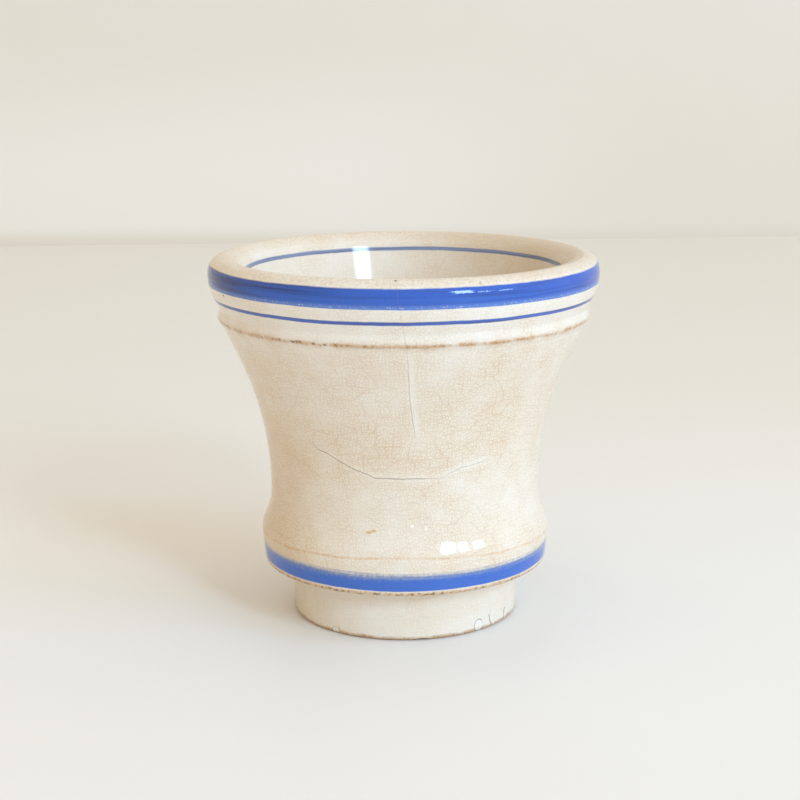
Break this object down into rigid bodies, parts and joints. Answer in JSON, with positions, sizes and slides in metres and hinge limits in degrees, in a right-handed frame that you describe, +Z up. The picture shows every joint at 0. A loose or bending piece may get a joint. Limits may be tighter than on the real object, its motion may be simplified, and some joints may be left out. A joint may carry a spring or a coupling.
{
  "type": "mortar",
  "caption": "Footed ceramic mortar: thick rolled lip over a ledge, flaring glazed bowl, narrow waist, rounded bead and a plain ring foot, with painted cobalt rings.",
  "frame": {"origin": "centre of the foot's resting face, on the surface the mortar stands on", "axes": "+Z up along the axis of turning"},
  "size_m": [0.12, 0.12, 0.1127],
  "materials": {
    "ivory_glaze": "warm ivory glaze, glossy, finely crazed and stained with age",
    "cobalt_glaze": "brushed cobalt blue under a glossy glaze, uneven at its edges",
    "faded_cobalt_glaze": "thin greyish cobalt line, blurred into the glaze"
  },
  "bodies": {
    "root": {"mortar_body": "ivory_glaze", "rim_band": "cobalt_glaze", "rim_line": "cobalt_glaze", "foot_band": "cobalt_glaze", "inner_line": "faded_cobalt_glaze"}
  },
  "joints": []
}
